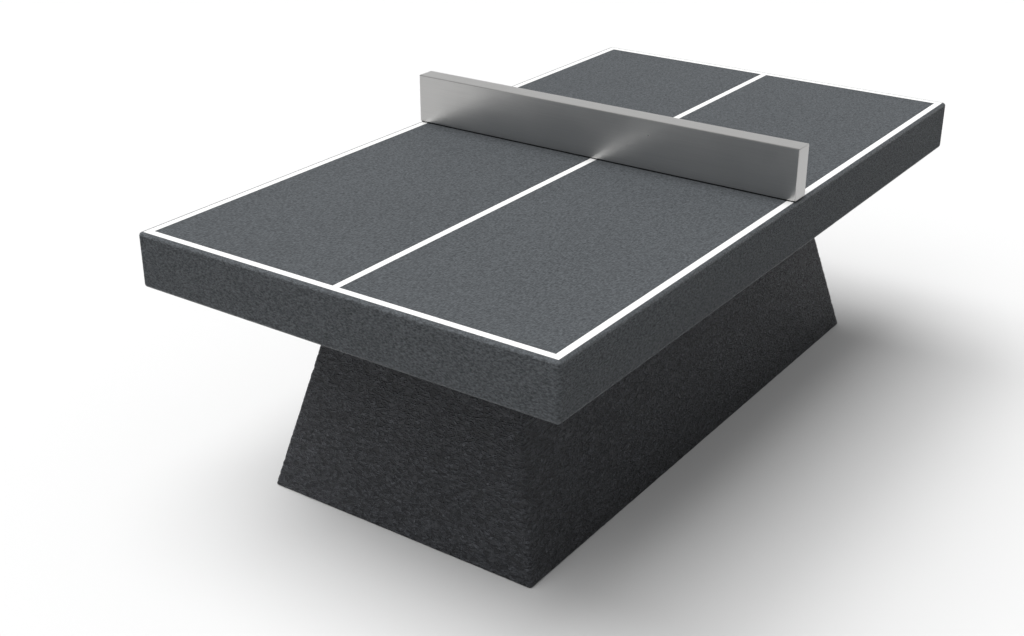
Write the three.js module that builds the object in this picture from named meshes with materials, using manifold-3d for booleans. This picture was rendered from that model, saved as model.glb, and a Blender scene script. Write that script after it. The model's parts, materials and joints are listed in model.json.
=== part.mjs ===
// Outdoor ping pong table cast in dark concrete: a thick slab top with white inlaid lines,
// a steel box net bolted through it, and a hollow flared pedestal.
// Millimetres. +Z up, +X along the table. The origin is on the floor under the middle of the table.
import * as THREE from 'three';
import { mergeVertices } from 'three/addons/utils/BufferGeometryUtils.js';
import Module from 'manifold-3d';

const wasm = await Module();
wasm.setup();

// Overall sizes
const tableLength = 2740;
const tableWidth = 1525;
const playingHeight = 924;
const fitGap = 0.3; // clearance between pieces that touch

// Top slab
const slabThickness = 181;
const slabEdgeRadius = 12;
const slabCornerRadius = 14; // of the upright corners
const lineWidth = 24;
const lineInset = 12; // from the slab's sides
const lineDepth = 3;

// Pedestal
const footLength = 2256;
const footWidth = 1035;
const flare = 182; // how far each side leans in between foot and rim
const wallThickness = 110; // measured level
const pedestalEdgeRadius = 9;
const pedestalCornerRadius = 11;
const hollowCornerRadius = 22;

// Bearing strips between pedestal and slab
const bearingThickness = 6;
const bearingWidth = 60;

// Net
const netHeight = 179;
const netThickness = 71;
const netEndInset = 5; // from the slab's sides to the net's ends
const netSheet = 3;
const netBendRadius = 5;
const netBasePlateThickness = 8;
const netGasketThickness = 4;
const netGasketInset = 4;

// Bolts that hold the net down
const boltRadius = 6;
const boltHeadRadius = 10.5;
const boltHeadHeight = 7.5;
const boltTip = 8; // thread that shows under the nut
const nutRadius = 10.5;
const nutHeight = 12;
const washerRadius = 20;
const washerThickness = 3;
const sleeveWall = 3;
const outerBoltInset = 100; // from the slab's sides
const innerBoltClearance = 120; // from the pedestal's rim

// Dowels that key the slab to the pedestal
const dowelRadius = 12;
const dowelInset = 220; // from the pedestal's rim ends
const dowelInSlab = 90;
const dowelInPedestal = 80;
const dowelEndGap = 3;
const dowelChamfer = 2;
const dowelCapWall = 2;
const dowelSocketWall = 5;
const socketFlange = 5;
const socketFlangeThickness = 2;

// Lifting sockets under the slab
const liftingSocketRadius = 15;
const liftingBoreRadius = 9;
const liftingBoreDepth = 36;
const plugDepth = 10;
const plugDimpleRadius = 3;
const plugDimpleDepth = 4;

// Reinforcement
const barRadius = 5;
const barSides = 6;
const barLap = 2; // overlap of crossing bars where they are welded
const concreteCover = 40;
const matEdgeCover = 60;
const matLengthwiseBars = 6;
const matCrosswiseBars = 8;
const cageRingHeights = [90, 350, 610];
const cageEndBarSpacing = 300;
const barSocketGap = 2.5;
const socketSeatDepth = 4;

const roundSides = 16;
const overrun = 10; // how far cutters run past the faces that they cut

// Sizes that follow from the ones above
const slabUnderside = playingHeight - slabThickness;
const pedestalHeight = slabUnderside - bearingThickness;
const slope = flare / pedestalHeight;
const rimHalfLength = footLength / 2 - flare;
const rimHalfWidth = footWidth / 2 - flare;
const netLength = tableWidth - 2 * netEndInset;
const netMiddle = netThickness / 2;
const dowelX = rimHalfLength - dowelInset;
const dowelY = rimHalfWidth - wallThickness / 2 + (slope * dowelInPedestal) / 2;
const barStep = 2 * barRadius - barLap;

// ---------- materials ----------

const finishes = {
  slab: { color: 0x484a4e, roughness: 0.75, metalness: 0 },
  pedestal: { color: 0x36383b, roughness: 0.7, metalness: 0 },
  line: { color: 0xf4f4f2, roughness: 0.5, metalness: 0 },
  stainless: { color: 0xb4b4b2, roughness: 0.3, metalness: 1 },
  zincSteel: { color: 0x9a9da0, roughness: 0.4, metalness: 1 },
  rebar: { color: 0x6b4a38, roughness: 0.85, metalness: 0.6 },
  rubber: { color: 0x1c1c1d, roughness: 0.9, metalness: 0 },
  plastic: { color: 0x3b3e41, roughness: 0.55, metalness: 0 },
};

function addPiece(parent, name, geometry, finish, position = [0, 0, 0]) {
  const mesh = new THREE.Mesh(geometry, new THREE.MeshStandardMaterial(finishes[finish]));
  mesh.name = name;
  mesh.position.set(...position);
  parent.add(mesh);
  return mesh;
}

// ---------- solids ----------

function toSolid(geometry) {
  const bare = geometry.clone();
  bare.deleteAttribute('normal');
  bare.deleteAttribute('uv');
  const merged = mergeVertices(bare, 1e-3);
  return new wasm.Manifold(new wasm.Mesh({
    numProp: 3,
    vertProperties: new Float32Array(merged.attributes.position.array),
    triVerts: new Uint32Array(merged.index.array),
  }));
}

function toGeometry(solid) {
  const mesh = solid.getMesh();
  const geometry = new THREE.BufferGeometry();
  geometry.setAttribute('position', new THREE.BufferAttribute(new Float32Array(mesh.vertProperties), 3));
  geometry.setIndex(new THREE.BufferAttribute(new Uint32Array(mesh.triVerts), 1));
  geometry.computeVertexNormals();
  return geometry;
}

function join(geometries) {
  return toGeometry(geometries.map(toSolid).reduce((whole, next) => whole.add(next)));
}

function cut(geometry, cutters) {
  return toGeometry(cutters.map(toSolid).reduce((whole, next) => whole.subtract(next), toSolid(geometry)));
}

function common(geometry, other) {
  return toGeometry(toSolid(geometry).intersect(toSolid(other)));
}

// A box from its lowest corner to its highest one.
function boxBetween(low, high) {
  const size = high.map((value, axis) => value - low[axis]);
  const middle = high.map((value, axis) => (value + low[axis]) / 2);
  return new THREE.BoxGeometry(...size).translate(...middle);
}

// A cylinder standing on bottomZ.
function post(radius, bottomZ, topZ, x = 0, y = 0, sides = roundSides) {
  return new THREE.CylinderGeometry(radius, radius, topZ - bottomZ, sides)
    .rotateX(Math.PI / 2)
    .translate(x, y, (topZ + bottomZ) / 2);
}

// A body turned about Z from [radius, height] points.
function turned(profile, sides = roundSides) {
  const points = profile.map(([radius, height]) => new THREE.Vector2(radius, height));
  return new THREE.LatheGeometry(points, sides).rotateX(Math.PI / 2);
}

// A straight bar between two points.
function bar(start, end, radius) {
  const from = new THREE.Vector3(...start);
  const to = new THREE.Vector3(...end);
  const along = to.clone().sub(from);
  const geometry = new THREE.CylinderGeometry(radius, radius, along.length(), barSides);
  const turn = new THREE.Quaternion().setFromUnitVectors(new THREE.Vector3(0, 1, 0), along.normalize());
  const middle = from.add(to).multiplyScalar(0.5);
  return geometry.applyQuaternion(turn).translate(middle.x, middle.y, middle.z);
}

function roundedRectangle(halfLength, halfWidth, radius) {
  const shape = new THREE.Shape();
  shape.moveTo(halfLength, -halfWidth + radius);
  shape.lineTo(halfLength, halfWidth - radius);
  shape.absarc(halfLength - radius, halfWidth - radius, radius, 0, Math.PI / 2);
  shape.lineTo(-halfLength + radius, halfWidth);
  shape.absarc(-halfLength + radius, halfWidth - radius, radius, Math.PI / 2, Math.PI);
  shape.lineTo(-halfLength, -halfWidth + radius);
  shape.absarc(-halfLength + radius, -halfWidth + radius, radius, Math.PI, Math.PI * 1.5);
  shape.lineTo(halfLength - radius, -halfWidth);
  shape.absarc(halfLength - radius, -halfWidth + radius, radius, Math.PI * 1.5, Math.PI * 2);
  return shape;
}

// The four places [x, y] that mirror one another about both middle planes.
function fourCorners(x, y) {
  return [[-x, -y], [-x, y], [x, -y], [x, y]];
}

// ---------- playing lines ----------

// Each line's [lowest x, lowest y, highest x, highest y], butted with the fit gap.
const lineOuterX = tableLength / 2 - lineInset;
const lineOuterY = tableWidth / 2 - lineInset;
const lineInnerX = lineOuterX - lineWidth;
const lineInnerY = lineOuterY - lineWidth;
const betweenEndLines = lineInnerX - fitGap;
const lines = {
  end_line_near: [-lineOuterX, -lineOuterY, -lineInnerX, lineOuterY],
  end_line_far: [lineInnerX, -lineOuterY, lineOuterX, lineOuterY],
  side_line_right: [-betweenEndLines, -lineOuterY, betweenEndLines, -lineInnerY],
  side_line_left: [-betweenEndLines, lineInnerY, betweenEndLines, lineOuterY],
  centre_line: [-betweenEndLines, -lineWidth / 2, betweenEndLines, lineWidth / 2],
};

// An inlay's top is ground down with the slab's, so it follows the rounded edge.
function lineStrip([lowX, lowY, highX, highY]) {
  const strip = boxBetween([lowX, lowY, slabThickness - lineDepth], [highX, highY, slabThickness + overrun]);
  return common(strip, slabBlank());
}

function lineGroove([lowX, lowY, highX, highY]) {
  return boxBetween(
    [lowX - fitGap, lowY - fitGap, slabThickness - lineDepth - fitGap],
    [highX + fitGap, highY + fitGap, slabThickness + overrun],
  );
}

// ---------- reinforcement mat in the slab ----------

const matHalfLength = tableLength / 2 - matEdgeCover;
const matHalfWidth = tableWidth / 2 - matEdgeCover;
const matLengthwisePitch = (2 * matHalfWidth) / (matLengthwiseBars - 1);
const matCrosswisePitch = (2 * matHalfLength) / (matCrosswiseBars - 1);
const matCrosswiseZ = concreteCover + barRadius;
const matLengthwiseZ = matCrosswiseZ + barStep;

function reinforcementMat(clearance) {
  const radius = barRadius + clearance;
  const endX = matHalfLength + concreteCover / 2 + clearance;
  const endY = matHalfWidth + concreteCover / 2 + clearance;
  const bars = [];
  for (let i = 0; i < matLengthwiseBars; i += 1) {
    const y = -matHalfWidth + i * matLengthwisePitch;
    bars.push(bar([-endX, y, matLengthwiseZ], [endX, y, matLengthwiseZ], radius));
  }
  for (let i = 0; i < matCrosswiseBars; i += 1) {
    const x = -matHalfLength + i * matCrosswisePitch;
    bars.push(bar([x, -endY, matCrosswiseZ], [x, endY, matCrosswiseZ], radius));
  }
  return join(bars);
}

// ---------- lifting sockets under the slab ----------

// They stand under the second lengthwise bar from each side, midway between two crosswise bars.
const liftingSocketHeight = matLengthwiseZ - barRadius - barSocketGap;
const liftingPlaces = fourCorners(2 * matCrosswisePitch, matHalfWidth - matLengthwisePitch);

function liftingSocket() {
  return turned([
    [0, liftingSocketHeight],
    [liftingSocketRadius, liftingSocketHeight],
    [liftingSocketRadius, socketFlangeThickness],
    [liftingSocketRadius + socketFlange, socketFlangeThickness],
    [liftingSocketRadius + socketFlange, 0],
    [liftingBoreRadius, 0],
    [liftingBoreRadius, liftingBoreDepth],
    [0, liftingBoreDepth],
  ].reverse());
}

function liftingSocketHole([x, y]) {
  return join([
    post(liftingSocketRadius + fitGap, -overrun, liftingSocketHeight + socketSeatDepth, x, y),
    post(liftingSocketRadius + socketFlange + fitGap, -overrun, socketFlangeThickness + fitGap, x, y),
  ]);
}

function liftingPlug() {
  return turned([
    [0, plugDepth],
    [liftingBoreRadius - fitGap, plugDepth],
    [liftingBoreRadius - fitGap, 0],
    [plugDimpleRadius, 0],
    [plugDimpleRadius, plugDimpleDepth],
    [0, plugDimpleDepth],
  ].reverse());
}

// ---------- dowels ----------

const dowelPlaces = fourCorners(dowelX, dowelY);
const dowelCapRadius = dowelRadius + fitGap + dowelCapWall;
const dowelSocketRadius = dowelRadius + fitGap + dowelSocketWall;

// The pin's own zero is the pedestal's rim.
function dowelPin() {
  const bottom = -dowelInPedestal + dowelEndGap;
  const top = bearingThickness + dowelInSlab - dowelEndGap;
  return turned([
    [0, bottom],
    [dowelRadius - dowelChamfer, bottom],
    [dowelRadius, bottom + dowelChamfer],
    [dowelRadius, top - dowelChamfer],
    [dowelRadius - dowelChamfer, top],
    [0, top],
  ]);
}

// A cap cast into the slab, open at the underside.
function dowelCap() {
  return turned([
    [0, dowelInSlab],
    [dowelRadius + fitGap, dowelInSlab],
    [dowelRadius + fitGap, 0],
    [dowelCapRadius, 0],
    [dowelCapRadius, dowelInSlab + dowelCapWall],
    [0, dowelInSlab + dowelCapWall],
  ]);
}

function dowelCapHole([x, y]) {
  return post(dowelCapRadius + fitGap, -overrun, dowelInSlab + dowelCapWall + fitGap, x, y);
}

// A steel cup cast into the rim, open at the top. Its own zero is the rim.
function dowelSocket() {
  return turned([
    [0, -dowelInPedestal - dowelSocketWall],
    [dowelSocketRadius, -dowelInPedestal - dowelSocketWall],
    [dowelSocketRadius, -socketFlangeThickness],
    [dowelSocketRadius + socketFlange, -socketFlangeThickness],
    [dowelSocketRadius + socketFlange, 0],
    [dowelRadius + fitGap, 0],
    [dowelRadius + fitGap, -dowelInPedestal],
    [0, -dowelInPedestal],
  ]);
}

function dowelSocketHole([x, y]) {
  const bottom = pedestalHeight - dowelInPedestal - dowelSocketWall - socketSeatDepth;
  const flangeBottom = pedestalHeight - socketFlangeThickness - fitGap;
  return join([
    post(dowelSocketRadius + fitGap, bottom, pedestalHeight + overrun, x, y),
    post(dowelSocketRadius + socketFlange + fitGap, flangeBottom, pedestalHeight + overrun, x, y),
  ]);
}

// ---------- net bolts ----------

const boltPlaces = [
  -tableWidth / 2 + outerBoltInset,
  -rimHalfWidth - innerBoltClearance,
  rimHalfWidth + innerBoltClearance,
  tableWidth / 2 - outerBoltInset,
];
const sleeveRadius = boltRadius + fitGap + sleeveWall;

// Heights are in the slab's own frame, whose zero is the underside.
const basePlateBottom = slabThickness + netGasketThickness;
const basePlateTop = basePlateBottom + netBasePlateThickness;

function netBolt() {
  const headBottom = basePlateTop + fitGap;
  const tip = -washerThickness - nutHeight - boltTip;
  return join([
    post(boltRadius, tip, headBottom + boltHeadHeight / 2),
    post(boltHeadRadius, headBottom, headBottom + boltHeadHeight, 0, 0, 6),
  ]);
}

function netWasher() {
  return cut(
    post(washerRadius, -washerThickness, -fitGap),
    [post(boltRadius + fitGap, -washerThickness - overrun, overrun)],
  );
}

function netNut() {
  const top = -washerThickness - fitGap;
  return cut(
    post(nutRadius, top - nutHeight, top, 0, 0, 6),
    [post(boltRadius + fitGap, top - nutHeight - overrun, overrun)],
  );
}

function boltSleeve() {
  return cut(
    post(sleeveRadius, 0, slabThickness),
    [post(boltRadius + fitGap, -overrun, slabThickness + overrun)],
  );
}

// ---------- top slab ----------

function slabBlank() {
  const outline = roundedRectangle(
    tableLength / 2 - slabEdgeRadius,
    tableWidth / 2 - slabEdgeRadius,
    slabCornerRadius - slabEdgeRadius,
  );
  return new THREE.ExtrudeGeometry(outline, {
    depth: slabThickness - 2 * slabEdgeRadius,
    bevelThickness: slabEdgeRadius,
    bevelSize: slabEdgeRadius,
    bevelSegments: 3,
    curveSegments: 2,
  }).translate(0, 0, slabEdgeRadius);
}

function topSlab() {
  return cut(slabBlank(), [
    ...Object.values(lines).map(lineGroove),
    ...boltPlaces.map((y) => post(sleeveRadius + fitGap, -overrun, slabThickness + overrun, netMiddle, y)),
    ...liftingPlaces.map(liftingSocketHole),
    ...dowelPlaces.map(dowelCapHole),
    reinforcementMat(fitGap),
  ]);
}

// ---------- net ----------

const netBottom = basePlateBottom;
const netTop = slabThickness + netHeight;
const shellLength = netLength - 2 * (netSheet + fitGap);

// The net's section in X and Z, seen along Y, with its middle on x = 0.
function netSection(inset) {
  const half = netThickness / 2 - inset;
  const bend = netBendRadius - inset;
  const shape = new THREE.Shape();
  shape.moveTo(-half, netBottom);
  shape.lineTo(half, netBottom);
  shape.lineTo(half, netTop - inset - bend);
  shape.absarc(half - bend, netTop - inset - bend, bend, 0, Math.PI / 2);
  shape.lineTo(-half + bend, netTop - inset);
  shape.absarc(-half + bend, netTop - inset - bend, bend, Math.PI / 2, Math.PI);
  return shape;
}

function alongY(shape, lowY, highY) {
  return new THREE.ExtrudeGeometry(shape, { depth: highY - lowY, bevelEnabled: false, curveSegments: 4 })
    .rotateX(Math.PI / 2)
    .translate(0, highY, 0);
}

function netShell() {
  const inside = alongY(netSection(netSheet), -shellLength / 2 - overrun, shellLength / 2 + overrun);
  const mouth = boxBetween(
    [-netThickness / 2 + netSheet, -shellLength / 2 - overrun, netBottom - overrun],
    [netThickness / 2 - netSheet, shellLength / 2 + overrun, netBottom + overrun],
  );
  return cut(alongY(netSection(0), -shellLength / 2, shellLength / 2), [inside, mouth]);
}

function netEndPlate(side) {
  const inner = netLength / 2 - netSheet;
  const outer = netLength / 2;
  return side > 0 ? alongY(netSection(0), inner, outer) : alongY(netSection(0), -outer, -inner);
}

function netBasePlate() {
  const halfX = netThickness / 2 - netSheet - fitGap;
  const halfY = shellLength / 2;
  return cut(
    boxBetween([-halfX, -halfY, basePlateBottom], [halfX, halfY, basePlateTop]),
    boltPlaces.map((y) => post(boltRadius + fitGap, basePlateBottom - overrun, basePlateTop + overrun, 0, y)),
  );
}

function netGasket() {
  const halfX = netThickness / 2 - netGasketInset;
  const halfY = netLength / 2 - netGasketInset;
  return cut(
    boxBetween(
      [-halfX, -halfY, slabThickness + fitGap],
      [halfX, halfY, slabThickness + netGasketThickness - fitGap],
    ),
    boltPlaces.map((y) => post(boltRadius + fitGap, slabThickness - overrun, basePlateTop, 0, y)),
  );
}

// ---------- pedestal ----------

// A block whose four sides lean in by the pedestal's slope, set in from the outside by inset.
// Its upright corners have the radius given, and its top and bottom edges have edgeRadius.
function leaningBlock(inset, radius, edgeRadius, bottomZ, topZ) {
  const halfLength = footLength / 2 - inset - edgeRadius;
  const halfWidth = footWidth / 2 - inset - edgeRadius;
  const outline = roundedRectangle(halfLength, halfWidth, radius - edgeRadius);
  const geometry = new THREE.ExtrudeGeometry(outline, {
    depth: topZ - bottomZ - 2 * edgeRadius,
    bevelEnabled: edgeRadius > 0,
    bevelThickness: edgeRadius,
    bevelSize: edgeRadius,
    bevelSegments: 3,
    curveSegments: 2,
  }).translate(0, 0, bottomZ + edgeRadius);
  const corner = geometry.attributes.position;
  for (let i = 0; i < corner.count; i += 1) {
    const lean = slope * corner.getZ(i);
    corner.setX(i, corner.getX(i) - Math.sign(corner.getX(i)) * lean);
    corner.setY(i, corner.getY(i) - Math.sign(corner.getY(i)) * lean);
  }
  return geometry;
}

// The middle of the wall at height z, as half of its length and half of its width.
function wallMiddle(z) {
  const inset = slope * z + wallThickness / 2;
  return [footLength / 2 - inset, footWidth / 2 - inset];
}

function cageRing(z, radius) {
  const [middleX, middleY] = wallMiddle(z);
  const halfX = middleX - barStep;
  const halfY = middleY - barStep;
  const lap = radius / 2;
  return [
    bar([-halfX - lap, -halfY, z], [halfX + lap, -halfY, z], radius),
    bar([-halfX - lap, halfY, z], [halfX + lap, halfY, z], radius),
    bar([-halfX, -halfY - lap, z], [-halfX, halfY + lap, z], radius),
    bar([halfX, -halfY - lap, z], [halfX, halfY + lap, z], radius),
  ];
}

function reinforcementCage(clearance) {
  const radius = barRadius + clearance;
  const bottom = concreteCover - clearance;
  const top = pedestalHeight - concreteCover + clearance;
  const underSocket = pedestalHeight - dowelInPedestal - dowelSocketWall - barSocketGap + clearance;
  const [bottomX, bottomY] = wallMiddle(bottom);
  const bars = cageRingHeights.flatMap((z) => cageRing(z, radius));
  for (const side of [-1, 1]) {
    for (const x of [-dowelX, -dowelX / 3, dowelX / 3, dowelX]) {
      const end = Math.abs(x) === dowelX ? underSocket : top;
      bars.push(bar([x, side * bottomY, bottom], [x, side * wallMiddle(end)[1], end], radius));
    }
    for (const y of [-cageEndBarSpacing / 2, cageEndBarSpacing / 2]) {
      bars.push(bar([side * bottomX, y, bottom], [side * wallMiddle(top)[0], y, top], radius));
    }
  }
  return join(bars);
}

function pedestal() {
  return cut(leaningBlock(0, pedestalCornerRadius, pedestalEdgeRadius, 0, pedestalHeight), [
    leaningBlock(wallThickness, hollowCornerRadius, 0, -overrun, pedestalHeight + overrun),
    ...dowelPlaces.map(dowelSocketHole),
    reinforcementCage(fitGap),
  ]);
}

// ---------- bearing strips ----------

const stripMiddleX = rimHalfLength - wallThickness / 2;
const stripMiddleY = rimHalfWidth - wallThickness / 2;
const stripBottom = pedestalHeight + fitGap;
const stripTop = slabUnderside - fitGap;

function lengthwiseStrip(side) {
  const halfX = stripMiddleX + bearingWidth / 2;
  const y = side * stripMiddleY;
  return cut(
    boxBetween([-halfX, y - bearingWidth / 2, stripBottom], [halfX, y + bearingWidth / 2, stripTop]),
    dowelPlaces.map(([dx, dy]) => post(dowelRadius + 1, stripBottom - overrun, stripTop + overrun, dx, dy)),
  );
}

function crosswiseStrip(side) {
  const halfY = stripMiddleY - bearingWidth / 2 - fitGap;
  const x = side * stripMiddleX;
  return boxBetween([x - bearingWidth / 2, -halfY, stripBottom], [x + bearingWidth / 2, halfY, stripTop]);
}

// ---------- assembly ----------

const table = new THREE.Group();
table.name = 'ping_pong_table';

const top = new THREE.Group();
top.position.z = slabUnderside;
table.add(top);
addPiece(top, 'top_slab', topSlab(), 'slab');
addPiece(top, 'slab_reinforcement', reinforcementMat(0), 'rebar');
for (const [name, place] of Object.entries(lines)) {
  addPiece(top, name, lineStrip(place), 'line');
}
liftingPlaces.forEach(([x, y], i) => {
  addPiece(top, `lifting_socket_${i + 1}`, liftingSocket(), 'zincSteel', [x, y, 0]);
  addPiece(top, `lifting_plug_${i + 1}`, liftingPlug(), 'plastic', [x, y, 0]);
});
dowelPlaces.forEach(([x, y], i) => {
  addPiece(top, `dowel_cap_${i + 1}`, dowelCap(), 'plastic', [x, y, 0]);
});

const net = new THREE.Group();
net.position.x = netMiddle;
top.add(net);
addPiece(net, 'net_shell', netShell(), 'stainless');
addPiece(net, 'net_end_plate_left', netEndPlate(1), 'stainless');
addPiece(net, 'net_end_plate_right', netEndPlate(-1), 'stainless');
addPiece(net, 'net_base_plate', netBasePlate(), 'zincSteel');
addPiece(net, 'net_gasket', netGasket(), 'rubber');
boltPlaces.forEach((y, i) => {
  addPiece(net, `net_bolt_${i + 1}`, netBolt(), 'zincSteel', [0, y, 0]);
  addPiece(net, `net_washer_${i + 1}`, netWasher(), 'zincSteel', [0, y, 0]);
  addPiece(net, `net_nut_${i + 1}`, netNut(), 'zincSteel', [0, y, 0]);
  addPiece(net, `bolt_sleeve_${i + 1}`, boltSleeve(), 'plastic', [0, y, 0]);
});

const stand = new THREE.Group();
table.add(stand);
addPiece(stand, 'pedestal', pedestal(), 'pedestal');
addPiece(stand, 'pedestal_reinforcement', reinforcementCage(0), 'rebar');
addPiece(stand, 'bearing_strip_left', lengthwiseStrip(1), 'rubber');
addPiece(stand, 'bearing_strip_right', lengthwiseStrip(-1), 'rubber');
addPiece(stand, 'bearing_strip_near', crosswiseStrip(-1), 'rubber');
addPiece(stand, 'bearing_strip_far', crosswiseStrip(1), 'rubber');
dowelPlaces.forEach(([x, y], i) => {
  addPiece(stand, `dowel_socket_${i + 1}`, dowelSocket(), 'zincSteel', [x, y, pedestalHeight]);
  addPiece(stand, `dowel_pin_${i + 1}`, dowelPin(), 'zincSteel', [x, y, pedestalHeight]);
});

export default table;
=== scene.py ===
import json
import math
import bmesh
import bpy
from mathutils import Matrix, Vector, noise


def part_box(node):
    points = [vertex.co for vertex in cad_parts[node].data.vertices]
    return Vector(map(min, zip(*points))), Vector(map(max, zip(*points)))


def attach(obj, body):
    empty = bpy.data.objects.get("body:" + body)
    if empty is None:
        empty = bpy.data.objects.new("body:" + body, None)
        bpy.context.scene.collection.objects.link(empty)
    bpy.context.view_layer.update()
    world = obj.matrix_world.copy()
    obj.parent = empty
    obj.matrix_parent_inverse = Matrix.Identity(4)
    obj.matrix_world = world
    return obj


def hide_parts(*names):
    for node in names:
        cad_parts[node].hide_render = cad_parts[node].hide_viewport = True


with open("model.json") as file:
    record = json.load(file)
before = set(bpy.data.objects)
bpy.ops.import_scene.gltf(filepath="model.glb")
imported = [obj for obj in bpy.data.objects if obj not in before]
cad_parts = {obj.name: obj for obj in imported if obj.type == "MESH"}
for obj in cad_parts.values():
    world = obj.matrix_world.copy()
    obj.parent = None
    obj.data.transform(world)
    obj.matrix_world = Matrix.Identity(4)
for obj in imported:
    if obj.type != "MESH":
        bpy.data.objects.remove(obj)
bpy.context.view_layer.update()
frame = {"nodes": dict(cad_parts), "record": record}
scene = bpy.context.scene
nodes = frame["nodes"]
subparts = frame["record"]["subparts"]
print("frame loaded:", len(nodes), "nodes")


# Helpers for node trees

# Links a socket to another, or gives it a plain value
def plug(tree, value, socket):
    if isinstance(value, bpy.types.NodeSocket):
        tree.links.new(value, socket)
    else:
        socket.default_value = value


def mathNode(tree, operation, a, b=None):
    node = tree.nodes.new("ShaderNodeMath")
    node.operation = operation
    plug(tree, a, node.inputs[0])
    if b is not None:
        plug(tree, b, node.inputs[1])
    return node.outputs[0]


def ranged(tree, value, fromRange, toRange, kind="LINEAR"):
    node = tree.nodes.new("ShaderNodeMapRange")
    node.interpolation_type = kind
    tree.links.new(value, node.inputs["Value"])
    node.inputs["From Min"].default_value = fromRange[0]
    node.inputs["From Max"].default_value = fromRange[1]
    node.inputs["To Min"].default_value = toRange[0]
    node.inputs["To Max"].default_value = toRange[1]
    return node.outputs[0]


def stretched(tree, vector, factors):
    node = tree.nodes.new("ShaderNodeVectorMath")
    node.operation = "MULTIPLY"
    tree.links.new(vector, node.inputs[0])
    plug(tree, factors, node.inputs[1])
    return node.outputs[0]


def noiseNode(tree, vector, scale, detail, rough=0.5, warp=0.0):
    node = tree.nodes.new("ShaderNodeTexNoise")
    tree.links.new(vector, node.inputs["Vector"])
    node.inputs["Scale"].default_value = scale
    node.inputs["Detail"].default_value = detail
    node.inputs["Roughness"].default_value = rough
    node.inputs["Distortion"].default_value = warp
    return node.outputs[0]


def colourRamp(tree, value, stops):
    ramp = tree.nodes.new("ShaderNodeValToRGB")
    tree.links.new(value, ramp.inputs[0])
    for spot, (place, colour) in zip(ramp.color_ramp.elements, stops):
        spot.position = place
        spot.color = (*colour, 1)
    return ramp.outputs[0]


# The colour sockets of a Mix node are inputs 6 and 7 and output 2
def blendColours(tree, factor, a, b, mode="MIX"):
    node = tree.nodes.new("ShaderNodeMix")
    node.data_type = "RGBA"
    node.blend_type = mode
    plug(tree, factor, node.inputs[0])
    plug(tree, a, node.inputs[6])
    plug(tree, b, node.inputs[7])
    return node.outputs[2]


def mixShaders(tree, factor, a, b):
    node = tree.nodes.new("ShaderNodeMixShader")
    tree.links.new(factor, node.inputs[0])
    tree.links.new(a, node.inputs[1])
    tree.links.new(b, node.inputs[2])
    return node.outputs[0]


def addBump(tree, shader, height, distance):
    bump = tree.nodes.new("ShaderNodeBump")
    bump.inputs["Strength"].default_value = 1.0
    bump.inputs["Distance"].default_value = distance
    tree.links.new(height, bump.inputs["Height"])
    tree.links.new(bump.outputs[0], shader.inputs["Normal"])


def grey(level):
    return (level, level, level, 1)


def shaded(colour, factor):
    return tuple(c * factor for c in colour)


# Camera

cameraSetup = {
    "lens": 50.0,
    "sensor": 36.0,
    "place": (-3.9966, -2.4572, 2.5026),
    "heading": 35.0,  # degrees from +X towards +Y
    "tilt": 25.0,  # degrees down
    "farthest": 300,
}


def makeCamera(cfg):
    data = bpy.data.cameras.new("camera")
    data.lens = cfg["lens"]
    data.sensor_width = cfg["sensor"]
    data.clip_end = cfg["farthest"]
    camera = bpy.data.objects.new("camera", data)
    scene.collection.objects.link(camera)
    camera.location = cfg["place"]
    camera.rotation_euler = (math.radians(90 - cfg["tilt"]), 0, math.radians(cfg["heading"] - 90))
    scene.camera = camera


# Soft sky, three broad distant lights and a pale floor

lightSetup = {
    "skyTop": 0.57,  # overhead
    "skyHorizon": 0.0,
    "skyFullAt": 0.9,  # height in the sky, 1 being straight up, from which it is at its brightest
    "skyInGloss": 0.83,  # the bright part of the sky that glossy surfaces reflect
    "glossSide": (0.78, 0.5, 0.36),  # where it lies
    "glossEdge": (0.2, 0.8),  # how it fades, from its rim to its middle
    "glossRest": 0.42,  # the rest of that sky, as a share of the bright part
    "backdrop": 1.25,  # what the camera sees past the floor
    "suns": [  # where each comes from, its spread in degrees and its strength
        ((0, 1.6, 7), 50, 1.95),
        ((-4, 1.5, 6), 50, 0.78),
        ((0, 4, 5), 40, 1.3),
    ],
    "floorSize": 120,
    "floorColour": 0.61,
    "floorInGloss": 0.48,  # as glossy surfaces reflect it
    "floorSeen": 0.65,  # straight to the camera
    "floorGlow": 0.055,  # lightens its shadows, to the camera only
    "floorRough": 0.9,
}


def background(tree, strength):
    node = tree.nodes.new("ShaderNodeBackground")
    plug(tree, strength, node.inputs["Strength"])
    return node.outputs[0]


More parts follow.
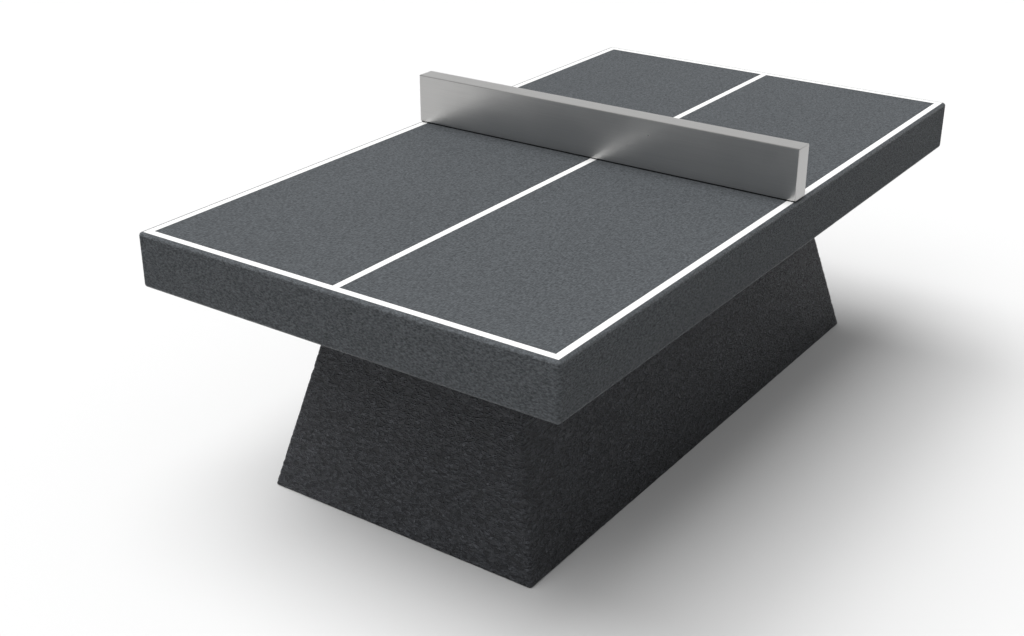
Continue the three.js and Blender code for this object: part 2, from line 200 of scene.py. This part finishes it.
def makeWorld(cfg):
    world = bpy.data.worlds.new("studio")
    world.use_nodes = True
    scene.world = world
    tree = world.node_tree
    tree.nodes.clear()
    direction = tree.nodes.new("ShaderNodeTexCoord").outputs["Generated"]
    split = tree.nodes.new("ShaderNodeSeparateXYZ")
    tree.links.new(direction, split.inputs[0])
    skyRange = (cfg["skyHorizon"], cfg["skyTop"])
    sky = ranged(tree, split.outputs["Z"], (0, cfg["skyFullAt"]), skyRange, "SMOOTHSTEP")
    side = tree.nodes.new("ShaderNodeVectorMath")
    side.operation = "DOT_PRODUCT"
    side.inputs[1].default_value = Vector(cfg["glossSide"]).normalized()
    tree.links.new(direction, side.inputs[0])
    glossRange = (cfg["skyInGloss"] * cfg["glossRest"], cfg["skyInGloss"])
    gloss = ranged(tree, side.outputs["Value"], cfg["glossEdge"], glossRange, "SMOOTHSTEP")
    path = tree.nodes.new("ShaderNodeLightPath")
    around = mixShaders(
        tree, path.outputs["Is Glossy Ray"], background(tree, sky), background(tree, gloss)
    )
    seen = background(tree, cfg["backdrop"])
    both = mixShaders(tree, path.outputs["Is Camera Ray"], around, seen)
    tree.links.new(both, tree.nodes.new("ShaderNodeOutputWorld").inputs[0])


def makeSuns(cfg):
    for place, spread, strength in cfg["suns"]:
        data = bpy.data.lights.new("sun", "SUN")
        data.angle = math.radians(spread)
        data.energy = strength
        sun = bpy.data.objects.new("sun", data)
        scene.collection.objects.link(sun)
        sun.visible_glossy = False
        sun.rotation_euler = (-Vector(place)).to_track_quat("-Z", "Y").to_euler()


def makeFloor(cfg):
    bm = bmesh.new()
    bmesh.ops.create_grid(bm, x_segments=1, y_segments=1, size=cfg["floorSize"] / 2)
    mesh = bpy.data.meshes.new("floor")
    bm.to_mesh(mesh)
    bm.free()
    floor = bpy.data.objects.new("floor", mesh)
    scene.collection.objects.link(floor)
    mat = bpy.data.materials.new("paleFloor")
    mat.use_nodes = True
    tree = mat.node_tree
    shader = tree.nodes["Principled BSDF"]
    path = tree.nodes.new("ShaderNodeLightPath")
    lit = grey(cfg["floorColour"])
    tone = blendColours(tree, path.outputs["Is Glossy Ray"], lit, grey(cfg["floorInGloss"]))
    tone = blendColours(tree, path.outputs["Is Camera Ray"], tone, grey(cfg["floorSeen"]))
    tree.links.new(tone, shader.inputs["Base Color"])
    tree.links.new(path.outputs["Is Camera Ray"], shader.inputs["Emission Strength"])
    shader.inputs["Emission Color"].default_value = grey(cfg["floorGlow"])
    shader.inputs["Roughness"].default_value = cfg["floorRough"]
    shader.inputs["Specular IOR Level"].default_value = 0.0
    mesh.materials.append(mat)


scene.view_settings.view_transform = "Standard"
makeCamera(cameraSetup)
makeWorld(lightSetup)
makeSuns(lightSetup)
makeFloor(lightSetup)
print("studio ready")


# Node groups that the materials share

def newGroup(name, inputs, outputs):
    group = bpy.data.node_groups.new(name, "ShaderNodeTree")
    for label in inputs:
        group.interface.new_socket(label, in_out="INPUT", socket_type="NodeSocketVector")
    for label in outputs:
        group.interface.new_socket(label, in_out="OUTPUT", socket_type="NodeSocketFloat")
    return group, group.nodes.new("NodeGroupInput"), group.nodes.new("NodeGroupOutput")


# Scales are features to the metre
grainPattern = {
    "weaveLong": 85,
    "weaveAcross": 240,
    "weaveRange": ((0.36, 0.64), (0.27, 0.73)),  # evens the weave's contrast
    "rippleWarp": 0.6,
    "rippleRange": ((0.3, 0.7), (0.2, 0.8)),
    "levelFlatter": 0.55,  # how much lower the relief is on level faces
    "ridgeWidth": 0.085,
    "blotchScale": 3.2,
    "pitScale": 130,
    "pitSize": (0.05, 0.25),
}


# Woven grain on level faces, ripples along upright ones, slow blotches, pits and rounded edges
def makeCastGrain(cfg):
    group, start, end = newGroup(
        "castGrain",
        ["Vector", "Normal", "Ripple Scale"],
        ["Grain", "Height", "Ridges", "Blotch", "Pits", "Edge"],
    )

    def give(label, value):
        group.links.new(value, end.inputs[label])

    place = start.outputs["Vector"]
    long, across = cfg["weaveLong"], cfg["weaveAcross"]
    alongX = noiseNode(group, stretched(group, place, (long, across, across)), 1, 2, 0.6)
    alongY = noiseNode(group, stretched(group, place, (across, long, across)), 1, 2, 0.6)
    weave = mathNode(group, "MULTIPLY", mathNode(group, "ADD", alongX, alongY), 0.5)
    rippled = stretched(group, place, start.outputs["Ripple Scale"])
    ripples = noiseNode(group, rippled, 1, 2, 0.5, cfg["rippleWarp"])
    split = group.nodes.new("ShaderNodeSeparateXYZ")
    group.links.new(start.outputs["Normal"], split.inputs[0])
    level = mathNode(group, "ABSOLUTE", split.outputs["Z"])
    blend = group.nodes.new("ShaderNodeMix")
    group.links.new(level, blend.inputs["Factor"])
    group.links.new(ranged(group, ripples, *cfg["rippleRange"]), blend.inputs["A"])
    group.links.new(ranged(group, weave, *cfg["weaveRange"]), blend.inputs["B"])
    grain = blend.outputs["Result"]
    give("Grain", grain)
    flatter = mathNode(group, "MULTIPLY", level, cfg["levelFlatter"])
    give("Height", mathNode(group, "MULTIPLY", grain, mathNode(group, "SUBTRACT", 1, flatter)))
    away = mathNode(group, "ABSOLUTE", mathNode(group, "SUBTRACT", ripples, 0.5))
    give("Ridges", ranged(group, away, (0, cfg["ridgeWidth"]), (1, 0)))
    give("Blotch", noiseNode(group, place, cfg["blotchScale"], 4, 0.6))
    cells = group.nodes.new("ShaderNodeTexVoronoi")
    cells.inputs["Scale"].default_value = cfg["pitScale"]
    group.links.new(place, cells.inputs["Vector"])
    give("Pits", ranged(group, cells.outputs["Distance"], cfg["pitSize"], (1, 0)))
    rounding = mathNode(group, "MULTIPLY", level, mathNode(group, "SUBTRACT", 1, level))
    give("Edge", mathNode(group, "MULTIPLY", rounding, 4))  # 1 where a face leans halfway
    return group


brushPattern = {
    "coarse": (900, 3, 900),
    "fine": (2600, 11, 2600),
    "shift": (0.0137, 0.3071, 0.0033),  # which stretch of the pattern the steel shows
    "smudgeScale": 5,
}


# Long scratches one way, and slow smudges
def makeBrushing(cfg):
    group, start, end = newGroup("brushing", ["Vector"], ["Scratches", "Smudges"])
    shift = group.nodes.new("ShaderNodeVectorMath")
    shift.inputs[1].default_value = cfg["shift"]
    group.links.new(start.outputs["Vector"], shift.inputs[0])
    place = shift.outputs[0]
    coarse = noiseNode(group, stretched(group, place, cfg["coarse"]), 1, 2)
    fine = noiseNode(group, stretched(group, place, cfg["fine"]), 1, 1)
    both = mathNode(group, "MULTIPLY", mathNode(group, "ADD", coarse, fine), 0.5)
    group.links.new(both, end.inputs["Scratches"])
    group.links.new(noiseNode(group, place, cfg["smudgeScale"], 5, 0.6), end.inputs["Smudges"])
    return group


castGrain = makeCastGrain(grainPattern)
brushing = makeBrushing(brushPattern)


# Materials

def newMaterial(name):
    mat = bpy.data.materials.new(name)
    mat.use_nodes = True
    tree = mat.node_tree
    return mat, tree, tree.nodes["Principled BSDF"], tree.nodes.new("ShaderNodeTexCoord")


def useCastGrain(tree, coords, ripple):
    node = tree.nodes.new("ShaderNodeGroup")
    node.node_tree = castGrain
    tree.links.new(coords.outputs["Object"], node.inputs["Vector"])
    tree.links.new(coords.outputs["Normal"], node.inputs["Normal"])
    node.inputs["Ripple Scale"].default_value = ripple
    return node


white = (1, 1, 1)
concreteLooks = {
    "slab": {
        "colour": (0.0770, 0.0835, 0.0900),
        "spread": 0.43,  # how far the grain lightens and darkens
        "ripple": (110, 110, 230),
        "ridges": 0.0,  # share of sharp ridges in the relief
        "edgeHighlight": 0.3,  # how far rounded edges are lightened, a painted highlight
        "bare": 2.6,  # the palest grain of that painted highlight, against the colour
        "polished": 0.4,  # how much smoother rounded edges are
        "blotch": 0.05,
        "pits": 0.2,
        "rough": 0.75,
        "shine": 0.25,
        "bump": 0.0050,
    },
    "pedestal": {
        "colour": (0.0870, 0.0916, 0.1025),
        "spread": 0.64,
        "ripple": (50, 50, 108),
        "ridges": 0.45,
        "standing": 0.08,  # how far the modelled wrinkles are darkened towards their valleys, painted shade
        "blotch": 0.08,
        "pits": 0.2,
        "rough": 0.48,
        "shine": 0.5,
        "bump": 0.0125,
    },
}


def castConcrete(name, cfg):
    mat, tree, shader, coords = newMaterial(name)
    grain = useCastGrain(tree, coords, cfg["ripple"])
    ridges = mathNode(tree, "MULTIPLY", grain.outputs["Ridges"], cfg["ridges"])
    smoother = mathNode(tree, "MULTIPLY", grain.outputs["Grain"], 1 - cfg["ridges"])
    pattern = mathNode(tree, "ADD", smoother, ridges)
    lower = mathNode(tree, "MULTIPLY", grain.outputs["Height"], 1 - cfg["ridges"])
    height = mathNode(tree, "ADD", lower, ridges)
    low = shaded(cfg["colour"], 1 - cfg["spread"])
    high = shaded(cfg["colour"], 1 + cfg["spread"])
    tone = colourRamp(tree, pattern, [(0.25, low), (0.75, high)])
    dark = shaded(white, 1 - cfg["blotch"])
    blotched = colourRamp(tree, grain.outputs["Blotch"], [(0.3, dark), (0.7, white)])
    tone = blendColours(tree, 1.0, tone, blotched, "MULTIPLY")
    # Painted highlight: rounded edges lightened in the colour, in place of the sheen that they
    # catch
    if "edgeHighlight" in cfg:
        stops = [(0.4, cfg["colour"]), (0.7, shaded(cfg["colour"], cfg["bare"]))]
        pale = colourRamp(tree, grain.outputs["Grain"], stops)
        edgeHighlight = mathNode(tree, "MULTIPLY", grain.outputs["Edge"], cfg["edgeHighlight"])
        tone = blendColours(tree, edgeHighlight, tone, pale)
    # Painted shade: the valleys of the modelled wrinkles darkened in the colour, from the relief
    # attribute
    if "standing" in cfg:
        relief = tree.nodes.new("ShaderNodeAttribute")
        relief.attribute_name = "relief"
        stops = [(0.0, shaded(white, 1 - 2 * cfg["standing"])), (1.0, white)]
        standing = colourRamp(tree, relief.outputs["Fac"], stops)
        tone = blendColours(tree, 1.0, tone, standing, "MULTIPLY")
    tree.links.new(tone, shader.inputs["Base Color"])
    rough = ranged(tree, pattern, (0.2, 0.8), (cfg["rough"] + 0.1, cfg["rough"] - 0.1))
    if "polished" in cfg:
        polish = mathNode(tree, "MULTIPLY", grain.outputs["Edge"], cfg["polished"])
        rough = mathNode(tree, "SUBTRACT", rough, polish)
    tree.links.new(rough, shader.inputs["Roughness"])
    shader.inputs["Specular IOR Level"].default_value = cfg["shine"]
    pitted = mathNode(tree, "MULTIPLY", grain.outputs["Pits"], -cfg["pits"])
    addBump(tree, shader, mathNode(tree, "ADD", height, pitted), cfg["bump"])
    return mat


inlayLook = {
    "low": (0.78, 0.78, 0.77),
    "high": (0.82, 0.82, 0.815),
    "ripple": (90, 90, 190),
    "rough": 0.55,
    "shine": 0.3,
    "bump": 0.0002,
}


def whiteInlay(cfg):
    mat, tree, shader, coords = newMaterial("whiteInlay")
    grain = useCastGrain(tree, coords, cfg["ripple"])
    tone = colourRamp(tree, grain.outputs["Grain"], [(0.25, cfg["low"]), (0.6, cfg["high"])])
    tree.links.new(tone, shader.inputs["Base Color"])
    shader.inputs["Roughness"].default_value = cfg["rough"]
    shader.inputs["Specular IOR Level"].default_value = cfg["shine"]
    addBump(tree, shader, grain.outputs["Grain"], cfg["bump"])
    return mat


steelLook = {
    "dark": (0.58, 0.577, 0.57),
    "light": (0.66, 0.655, 0.645),
    "rough": (0.27, 0.36),
    "bump": 0.00004,
}


def brushedSteel(cfg):
    mat, tree, shader, coords = newMaterial("brushedStainless")
    brushed = tree.nodes.new("ShaderNodeGroup")
    brushed.node_tree = brushing
    tree.links.new(coords.outputs["Object"], brushed.inputs["Vector"])
    stops = [(0.3, cfg["dark"]), (0.7, cfg["light"])]
    tone = colourRamp(tree, brushed.outputs["Scratches"], stops)
    tree.links.new(tone, shader.inputs["Base Color"])
    rough = ranged(tree, brushed.outputs["Smudges"], (0.3, 0.7), cfg["rough"])
    tree.links.new(rough, shader.inputs["Roughness"])
    shader.inputs["Metallic"].default_value = 1.0
    addBump(tree, shader, brushed.outputs["Scratches"], cfg["bump"])
    return mat


# Metal, rubber or plastic whose tone and gloss wander slowly
simpleLooks = {
    "zinc_steel": {
        "name": "zincPlate", "low": (0.42, 0.43, 0.45), "high": (0.62, 0.62, 0.61),
        "scale": 60, "metal": 1.0, "rough": (0.3, 0.5), "bump": 0.00005,
    },
    "rebar_steel": {
        "name": "rustyBar", "low": (0.10, 0.045, 0.022), "high": (0.24, 0.17, 0.13),
        "scale": 120, "metal": 0.5, "rough": (0.6, 0.95), "bump": 0.0004,
    },
    "black_rubber": {
        "name": "blackRubber", "low": (0.014, 0.014, 0.015), "high": (0.026, 0.026, 0.027),
        "scale": 260, "metal": 0.0, "rough": (0.75, 0.9), "bump": 0.0001,
    },
    "grey_plastic": {
        "name": "greyPlastic", "low": (0.044, 0.048, 0.052), "high": (0.058, 0.062, 0.066),
        "scale": 400, "metal": 0.0, "rough": (0.42, 0.6), "bump": 0.00008,
    },
}


def mottledMaterial(cfg):
    mat, tree, shader, coords = newMaterial(cfg["name"])
    mottle = noiseNode(tree, coords.outputs["Object"], cfg["scale"], 5, 0.6)
    tone = colourRamp(tree, mottle, [(0.35, cfg["low"]), (0.65, cfg["high"])])
    tree.links.new(tone, shader.inputs["Base Color"])
    tree.links.new(ranged(tree, mottle, (0.3, 0.7), cfg["rough"]), shader.inputs["Roughness"])
    shader.inputs["Metallic"].default_value = cfg["metal"]
    addBump(tree, shader, mottle, cfg["bump"])
    return mat


materials = {
    "slab_concrete": castConcrete("slabConcrete", concreteLooks["slab"]),
    "pedestal_concrete": castConcrete("pedestalConcrete", concreteLooks["pedestal"]),
    "line_inlay": whiteInlay(inlayLook),
    "stainless_steel": brushedSteel(steelLook),
}
for slotName, look in simpleLooks.items():
    materials[slotName] = mottledMaterial(look)
for row in subparts:
    node = nodes[row["node"]]
    node.data.materials.clear()
    node.data.materials.append(materials[row["material_slot"]])
print("materials:", len(materials))


# Helpers for the pieces

square = 0.9999  # a face is square to an axis when its normal runs along it by this or more


def addPiece(name, bm, slotName, *replaced):
    bmesh.ops.recalc_face_normals(bm, faces=bm.faces[:])
    mesh = bpy.data.meshes.new(name)
    bm.to_mesh(mesh)
    bm.free()
    piece = bpy.data.objects.new(name, mesh)
    scene.collection.objects.link(piece)
    mesh.materials.append(materials[slotName])
    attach(piece, "root")
    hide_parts(*replaced)
    return piece


def boxMesh(low, high):
    bm = bmesh.new()
    bmesh.ops.create_cube(bm, size=1)
    middle = (low + high) / 2
    size = high - low
    for v in bm.verts:
        v.co = Vector(v.co[i] * size[i] + middle[i] for i in range(3))
    return bm


def roundEdges(bm, radius, segments):
    bmesh.ops.bevel(
        bm, geom=bm.edges[:], offset=radius, segments=segments,
        profile=0.5, affect="EDGES", material=-1,
    )


# The narrow faces of a rounded box are smooth and its broad ones flat
def smoothRounding(bm):
    for face in bm.faces:
        face.smooth = max(abs(v) for v in face.normal) < square


# Quads between neighbouring rings of points, and back to the first ring if closed
def loft(bm, rings, closed):
    rows = [[bm.verts.new(p) for p in ring] for ring in rings]
    pairs = list(zip(rows, rows[1:]))
    if closed:
        pairs.append((rows[-1], rows[0]))
    for lower, upper in pairs:
        count = len(lower)
        for i in range(count):
            j = (i + 1) % count
            bm.faces.new((lower[i], lower[j], upper[j], upper[i]))
    return rows


# Slab, with a groove for each line

slabShape = {
    "edge": 0.0115,
    "segments": 6,
    "gap": 0.0003,  # round each inlay
    "grooveDepth": 0.0033,
    "underLift": 0.0003,  # keeps the socket flanges clear of the underside
}
endLines = ["end_line_near", "end_line_far"]
lineNames = endLines + ["side_line_right", "side_line_left", "centre_line"]


def makeSlab(cfg):
    low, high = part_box("top_slab")
    low.z += cfg["underLift"]
    bm = boxMesh(low, high)
    roundEdges(bm, cfg["edge"], cfg["segments"])
    grooves = []
    cuts = {0: set(), 1: set()}  # places along X and along Y
    gap = cfg["gap"]
    for name in lineNames:
        a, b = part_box(name)
        grooves.append((a.x - gap, a.y - gap, b.x + gap, b.y + gap))
        cuts[1] |= {round(a.y - gap, 5), round(b.y + gap, 5)}
        if name in endLines:
            cuts[0] |= {round(a.x - gap, 5), round(b.x + gap, 5)}
    for axis, places in cuts.items():
        for place in sorted(places):
            point = [0, 0, 0]
            normal = [0, 0, 0]
            point[axis] = place
            normal[axis] = 1
            geometry = bm.verts[:] + bm.edges[:] + bm.faces[:]
            bmesh.ops.bisect_plane(bm, geom=geometry, dist=1e-6, plane_co=point, plane_no=normal)
    bm.normal_update()
    picked = []
    for face in bm.faces:
        middle = face.calc_center_median()
        if face.normal.z < square:
            continue
        if any(x0 < middle.x < x1 and y0 < middle.y < y1 for x0, y0, x1, y1 in grooves):
            picked.append(face)
    bmesh.ops.inset_region(bm, faces=picked, thickness=0, depth=-cfg["grooveDepth"])
    bm.normal_update()
    smoothRounding(bm)
    addPiece("slab", bm, "slab_concrete", "top_slab")


makeSlab(slabShape)
print("slab made")


# White inlays, with a fine eased edge

inlayShape = {"edge": 0.0004, "segments": 2}


def makeInlays(cfg):
    for name in lineNames:
        low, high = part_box(name)
        bm = boxMesh(low, high)
        roundEdges(bm, cfg["edge"], cfg["segments"])
        smoothRounding(bm)
        addPiece("inlay_" + name, bm, "line_inlay", name)


makeInlays(inlayShape)
print("inlays made")


# Pedestal: rounded oblong rings up the leaning wall, over the rim and down the hollow

pedestalShape = {
    "lean": 182 / 737,  # how far a side moves in for each metre up
    "edge": 0.009,
    "edgeSteps": 4,
    "corner": 0.011,
    "cornerSteps": 5,
    "hollowCorner": 0.022,
    "wall": 0.110,
    "rows": 196,
    "longSteps": 138,
    "shortSteps": 62,
    "smoothDepth": 0.05,  # faces nearer the outside than this are smooth
    "wrinkle": 0.0020,
    "wrinkleWide": 28,  # wrinkles to the metre, along
    "wrinkleHigh": 90,  # and up
    "crease": 0.6,  # share of creases, and how sharp they are
    "creaseSharp": 2.4,
    "fine": 0.55,  # share of finer wrinkles, and how much finer they are
    "fineWide": 1.9,
    "fineHigh": 1.3,
    "fineShift": 7,
    "sway": 0.014,  # how far a wrinkle wanders up and down
    "swayWide": 9,
    "swayHigh": 14,
    "sunk": 0.3,  # the part of a wrinkle that lies behind the CAD face
    "reliefZero": 0.4,  # the relief's value where nothing stands out
}


def oblongRing(halfX, halfY, radius, z, cfg):
    corners = [(1, -1, -90), (1, 1, 0), (-1, 1, 90), (-1, -1, 180)]
    steps = cfg["cornerSteps"]
    arcs = []
    for sx, sy, first in corners:
        centre = (sx * (halfX - radius), sy * (halfY - radius))
        arc = []
        for i in range(steps + 1):
            angle = math.radians(first + 90 * i / steps)
            x = centre[0] + radius * math.cos(angle)
            y = centre[1] + radius * math.sin(angle)
            arc.append(Vector((x, y, z)))
        arcs.append(arc)
    points = []
    for k, arc in enumerate(arcs):
        points += arc
        following = arcs[(k + 1) % 4][0]
        count = cfg["longSteps"] if k % 2 else cfg["shortSteps"]
        points += [arc[-1].lerp(following, i / count) for i in range(1, count)]
    return points


# How far a point of the cast face stands out, as cast against creased lining
def wrinkle(point, cfg):
    x, y, z = point
    swayWide = cfg["swayWide"]
    drift = cfg["sway"] * noise.noise(Vector((x * swayWide, y * swayWide, z * cfg["swayHigh"])))
    wide = cfg["wrinkleWide"]
    high = cfg["wrinkleHigh"]
    creases = noise.noise(Vector((x * wide, y * wide, (z + drift) * high)))
    wide *= cfg["fineWide"]
    high *= cfg["fineHigh"]
    fine = noise.noise(Vector((x * wide + cfg["fineShift"], y * wide, (z - drift) * high)))
    return cfg["crease"] * (1 - cfg["creaseSharp"] * abs(creases)) + cfg["fine"] * fine


# Inset from the leaning face, height, corner radius and share of wrinkles, from the foot's edge
# up the face, over the rim and down the hollow
def pedestalProfile(height, cfg):
    edge = cfg["edge"]
    corner = cfg["corner"]
    steps = cfg["edgeSteps"]
    profile = []
    for i in range(steps):
        angle = math.radians(90 * i / steps)
        inset = edge * (1 - math.sin(angle))
        profile.append((inset, edge * (1 - math.cos(angle)), corner - inset, i / steps))
    for i in range(cfg["rows"] + 1):
        profile.append((0, edge + (height - 2 * edge) * i / cfg["rows"], corner, 1))
    for i in range(1, steps + 1):
        angle = math.radians(90 * i / steps)
        inset = edge * (1 - math.cos(angle))
        z = height - edge + edge * math.sin(angle)
        profile.append((inset, z, corner - inset, 1 - i / steps))
    for z in (height, 0):
        profile.append((cfg["wall"], z, cfg["hollowCorner"], 0))
    return profile


def makePedestal(cfg):
    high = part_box("pedestal")[1]
    rings = []
    relief = []
    for inset, z, radius, amount in pedestalProfile(high.z, cfg):
        halfX = high.x - inset - cfg["lean"] * z
        halfY = high.y - inset - cfg["lean"] * z
        flat = oblongRing(halfX, halfY, radius, z, cfg)
        ring = []
        for i, point in enumerate(flat):
            before = flat[i - 1]
            after = flat[(i + 1) % len(flat)]
            out = Vector((after.y - before.y, before.x - after.x, 0)).normalized()
            rise = wrinkle(point, cfg)
            ring.append(point + out * (rise - cfg["sunk"]) * cfg["wrinkle"] * amount)
            relief.append(min(1, max(0, rise + cfg["reliefZero"])) if amount else 0.5)
        rings.append(ring)
    bm = bmesh.new()
    loft(bm, rings, True)
    for face in bm.faces:
        middle = face.calc_center_median()
        reach = cfg["lean"] * middle.z
        depth = min(high.x - reach - abs(middle.x), high.y - reach - abs(middle.y))
        face.smooth = depth < cfg["smoothDepth"]
    shell = addPiece("pedestal_shell", bm, "pedestal_concrete", "pedestal")
    shell.data.attributes.new("relief", "FLOAT", "POINT").data.foreach_set("value", relief)


makePedestal(pedestalShape)
print("pedestal made")


# Net: one welded steel box, ground smooth at its edges and open below

netShape = {"edge": 0.003, "segments": 4, "wall": 0.003}
netShell = ["net_shell", "net_end_plate_left", "net_end_plate_right"]


def makeNet(cfg):
    low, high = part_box("net_shell")
    for name in netShell:
        a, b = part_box(name)
        low.y = min(low.y, a.y)
        high.y = max(high.y, b.y)
    bm = boxMesh(low, high)
    roundEdges(bm, cfg["edge"], cfg["segments"])
    bm.normal_update()
    bottom = [f for f in bm.faces if f.normal.z < -square]
    depth = high.z - low.z - cfg["wall"]
    bmesh.ops.inset_region(bm, faces=bottom, thickness=0, depth=-depth)
    bm.normal_update()
    smoothRounding(bm)
    addPiece("net_box", bm, "stainless_steel", *netShell)


makeNet(netShape)
print("net made")


# Bolts, nuts and washers

fixingShape = {
    "steps": 48,
    "acrossFlats": 0.0182,
    "roundFace": 0.95,  # a hexagon's round end face, as a share of its flats
    "chamfer": 0.5,  # how steeply the corners of a hexagon are turned off
    "chamferStart": 0.0004,
    "headHeight": 0.0075,
    "boltRadius": 0.006,
    "boltGap": 0.0001,
    "boreGap": 0.0002,
    "boreEase": 0.0007,
    "threadPitch": 0.00175,
    "threadDepth": 0.0009,
    "threadLength": 0.034,
    "ringsPerTurn": 6,
    "tipLength": 0.0012,
    "tipSlope": 0.8,
    "washerEase": 0.0004,
}


# The radius is a number, or a function of the angle
def circleRing(x, y, z, radius, steps):
    points = []
    for i in range(steps):
        angle = 2 * math.pi * i / steps
        reach = radius(angle) if callable(radius) else radius
        points.append(Vector((x + reach * math.cos(angle), y + reach * math.sin(angle), z)))
    return points


# A hexagon's ring with its corners turned off, bottom (-1) or top (+1)
def hexRing(x, y, z, side, cfg):
    halfFlats = cfg["acrossFlats"] / 2

    def hexRadius(angle):
        turned = (math.degrees(angle) + 30) % 60 - 30
        return halfFlats / math.cos(math.radians(turned))

    ring = circleRing(x, y, z, hexRadius, cfg["steps"])
    for point in ring:
        reach = math.hypot(point.x - x, point.y - y) - halfFlats
        point.z -= side * (reach * cfg["chamfer"] + cfg["chamferStart"])
    return ring


def makeNut(name, cfg):
    low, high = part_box(name)
    middle = (low + high) / 2
    x, y = middle.x, middle.y
    steps = cfg["steps"]
    bore = cfg["boltRadius"] + cfg["boreGap"]
    ease = cfg["boreEase"]
    face = cfg["acrossFlats"] / 2 * cfg["roundFace"]
    rings = [
        circleRing(x, y, low.z, bore + ease, steps),
        circleRing(x, y, low.z, face, steps),
        hexRing(x, y, low.z, -1, cfg),
        hexRing(x, y, high.z, 1, cfg),
        circleRing(x, y, high.z, face, steps),
        circleRing(x, y, high.z, bore + ease, steps),
        circleRing(x, y, high.z - ease, bore, steps),
        circleRing(x, y, low.z + ease, bore, steps),
    ]
    bm = bmesh.new()
    loft(bm, rings, True)
    addPiece("hex_" + name, bm, "zinc_steel", name)


def makeWasher(name, cfg):
    low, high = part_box(name)
    middle = (low + high) / 2
    outer = (high.x - low.x) / 2
    bore = cfg["boltRadius"] + cfg["boreGap"]
    ease = cfg["washerEase"]
    profile = [
        (bore, low.z), (outer - ease, low.z), (outer, low.z + ease),
        (outer, high.z - ease), (outer - ease, high.z), (bore, high.z),
    ]
    bm = bmesh.new()
    verts = [bm.verts.new((middle.x + reach, middle.y, z)) for reach, z in profile]
    edges = [bm.edges.new(pair) for pair in zip(verts, verts[1:] + verts[:1])]
    bmesh.ops.spin(
        bm, geom=verts + edges, cent=(middle.x, middle.y, 0), axis=(0, 0, 1),
        angle=2 * math.pi, steps=cfg["steps"], use_merge=True,
    )
    addPiece("round_" + name, bm, "zinc_steel", name)


def makeBolt(name, cfg):
    low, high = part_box(name)
    middle = (low + high) / 2
    x, y = middle.x, middle.y
    steps = cfg["steps"]
    radius = cfg["boltRadius"] - cfg["boltGap"]
    pitch = cfg["threadPitch"]
    length = cfg["threadLength"]

    # The thread winds up the bolt and fades out, and its tip is turned down
    def threadRadius(rise):
        fade = min(1, (length - rise) / pitch)
        tip = max(0, cfg["tipLength"] - rise) * cfg["tipSlope"]

        def radiusAt(angle):
            turn = (rise / pitch - angle / (2 * math.pi)) % 1
            return radius - cfg["threadDepth"] * abs(2 * turn - 1) * max(0, fade) - tip
        return radiusAt

    count = round(length / pitch * cfg["ringsPerTurn"])
    rings = []
    for i in range(count + 1):
        rise = length * i / count
        rings.append(circleRing(x, y, low.z + rise, threadRadius(rise), steps))
    headLow = high.z - cfg["headHeight"]
    face = cfg["acrossFlats"] / 2 * cfg["roundFace"]
    rings += [
        circleRing(x, y, headLow, radius, steps),
        circleRing(x, y, headLow, face, steps),
        hexRing(x, y, headLow, -1, cfg),
        hexRing(x, y, high.z, 1, cfg),
        circleRing(x, y, high.z, face, steps),
    ]
    bm = bmesh.new()
    rows = loft(bm, rings, False)
    bm.faces.new(rows[0])
    bm.faces.new(rows[-1])
    addPiece("hex_" + name, bm, "zinc_steel", name)


for i in range(1, 5):
    makeBolt(f"net_bolt_{i}", fixingShape)
    makeNut(f"net_nut_{i}", fixingShape)
    makeWasher(f"net_washer_{i}", fixingShape)
print("fixings made")
